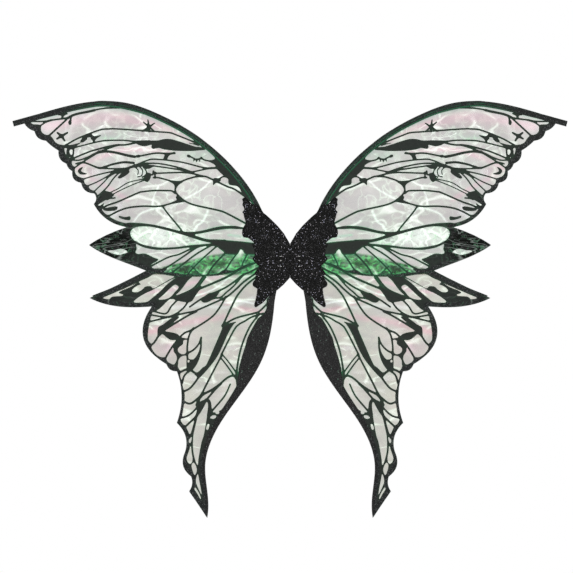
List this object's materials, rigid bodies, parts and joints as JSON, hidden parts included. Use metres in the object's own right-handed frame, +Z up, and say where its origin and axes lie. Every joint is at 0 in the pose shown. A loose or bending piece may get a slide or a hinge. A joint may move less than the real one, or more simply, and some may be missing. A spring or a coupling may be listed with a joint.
{
  "type": "fairy wings",
  "caption": "Pair of folding costume fairy wings: clear iridescent film with dark printed veins on wire-stiffened edges, a glitter spine and two elastic arm loops.",
  "frame": {"origin": "centre line of the wings at the rear face of the back pad, level with the middle of the spine", "axes": "+X along the wing span to the viewer's right, +Z up, +Y out of the back pad towards the wearer, so the display face looks along -Y"},
  "size_m": [0.9, 0.1135, 0.6778],
  "materials": {
    "glitter_foam": "black glitter fabric on foam sheet",
    "vein_print": "near-black print with fine green glitter, raised",
    "glitter_print": "charcoal glitter print",
    "clear_film": "crinkled clear film, iridescent pink and green",
    "edge_binding": "black binding with a dark green sheen",
    "wire": "drawn wire",
    "moulded_plastic": "black moulded sheet",
    "rivet_metal": "satin nickel",
    "thread": "grey thread with a slight sparkle",
    "elastic": "black ribbed elastic webbing",
    "slider_plastic": "black moulded slide",
    "pad_cover": "black brushed felt"
  },
  "bodies": {
    "harness": {"spine_cover": "glitter_foam", "spine_core": "moulded_plastic", "back_plate": "moulded_plastic", "back_pad": "pad_cover", "left_arm_loop": "elastic", "left_loop_patches": "elastic", "right_arm_loop": "elastic", "right_loop_patches": "elastic"},
    "left_wing": {"left_front_panel": "glitter_foam", "left_back_panel": "glitter_foam", "left_rod_holder": "moulded_plastic", "left_rivets": "rivet_metal", "left_root_stitches": "thread", "left_upper_film": "clear_film", "left_upper_veins": "vein_print", "left_upper_rod": "wire", "left_upper_sleeve": "edge_binding", "left_lower_film": "clear_film", "left_lower_veins": "vein_print", "left_lower_rod": "wire", "left_lower_sleeve": "edge_binding", "left_tail_rod": "wire", "left_tail_sleeve": "edge_binding", "left_tail_band": "glitter_print"},
    "left_slider": {"left_loop_slider": "slider_plastic"},
    "right_wing": {"right_front_panel": "glitter_foam", "right_back_panel": "glitter_foam", "right_rod_holder": "moulded_plastic", "right_rivets": "rivet_metal", "right_root_stitches": "thread", "right_upper_film": "clear_film", "right_upper_veins": "vein_print", "right_upper_rod": "wire", "right_upper_sleeve": "edge_binding", "right_lower_film": "clear_film", "right_lower_veins": "vein_print", "right_lower_rod": "wire", "right_lower_sleeve": "edge_binding", "right_tail_rod": "wire", "right_tail_sleeve": "edge_binding", "right_tail_band": "glitter_print"},
    "right_slider": {"right_loop_slider": "slider_plastic"}
  },
  "joints": [
    {"name": "left_fold", "type": "hinge", "parent": "harness", "child": "left_wing", "pos_m": [-0.007, -0.0158, 0], "axis": [0, 0, 1], "range_deg": [0, 90]},
    {"name": "right_fold", "type": "hinge", "parent": "harness", "child": "right_wing", "pos_m": [0.007, -0.0158, 0], "axis": [0, 0, -1], "range_deg": [0, 90]},
    {"name": "left_slide", "type": "slide", "parent": "harness", "child": "left_slider", "axis": [0, 0, 1], "range_m": [-0.015, 0.015]},
    {"name": "right_slide", "type": "slide", "parent": "harness", "child": "right_slider", "axis": [0, 0, 1], "range_m": [-0.015, 0.015]}
  ]
}
